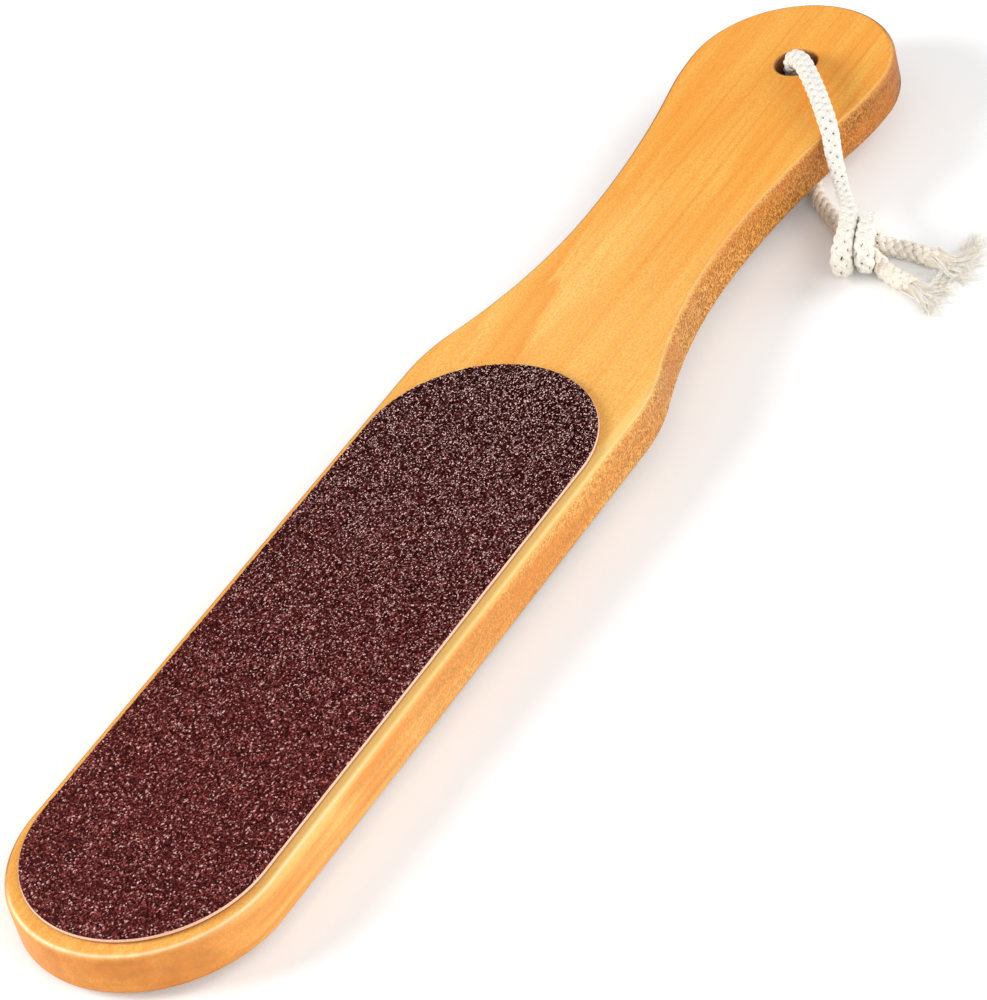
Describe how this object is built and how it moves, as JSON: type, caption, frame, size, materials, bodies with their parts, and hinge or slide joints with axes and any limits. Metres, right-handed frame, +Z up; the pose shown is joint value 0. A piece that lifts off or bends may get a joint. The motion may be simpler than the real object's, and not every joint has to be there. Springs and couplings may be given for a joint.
{
  "type": "foot file",
  "caption": "Wooden paddle with an abrasive pad glued to each face of its blade and a knotted cotton hanging cord through the round end of its handle; rubs hard skin off feet.",
  "frame": {"origin": "on the surface that the file lies on, under the middle of the board's length and width", "axes": "+X along the board from the blade's tip towards the handle's end, +Z up through the faces, +Y to the left"},
  "size_m": [0.2651, 0.0828, 0.0172],
  "materials": {
    "wood": "honey-coloured varnished wood with fine lengthwise grain, satin",
    "adhesive": "clear to cream adhesive film",
    "backing": "cream foam sheet, matte edge",
    "coarse_grit": "coarse dark maroon abrasive grains with small sparkles",
    "fine_grit": "finer dark maroon abrasive grains",
    "cotton": "undyed braided cotton cord, soft and matte"
  },
  "bodies": {
    "paddle": {"board": "wood", "front_film": "adhesive", "front_backing": "backing", "front_grit": "coarse_grit", "back_film": "adhesive", "back_backing": "backing", "back_grit": "fine_grit"},
    "cord_loop": {"cord_over": "cotton", "cord_under": "cotton", "cord_knot": "cotton", "tail_grip_side": "cotton", "tail_blade_side": "cotton", "fray_grip_side": "cotton", "fray_blade_side": "cotton"}
  },
  "joints": [
    {"name": "cord_swing", "type": "hinge", "parent": "paddle", "child": "cord_loop", "pos_m": [0.11302, -0.0014, 0.0083], "axis": [0, 0, 1], "range_deg": [0, 260]}
  ]
}
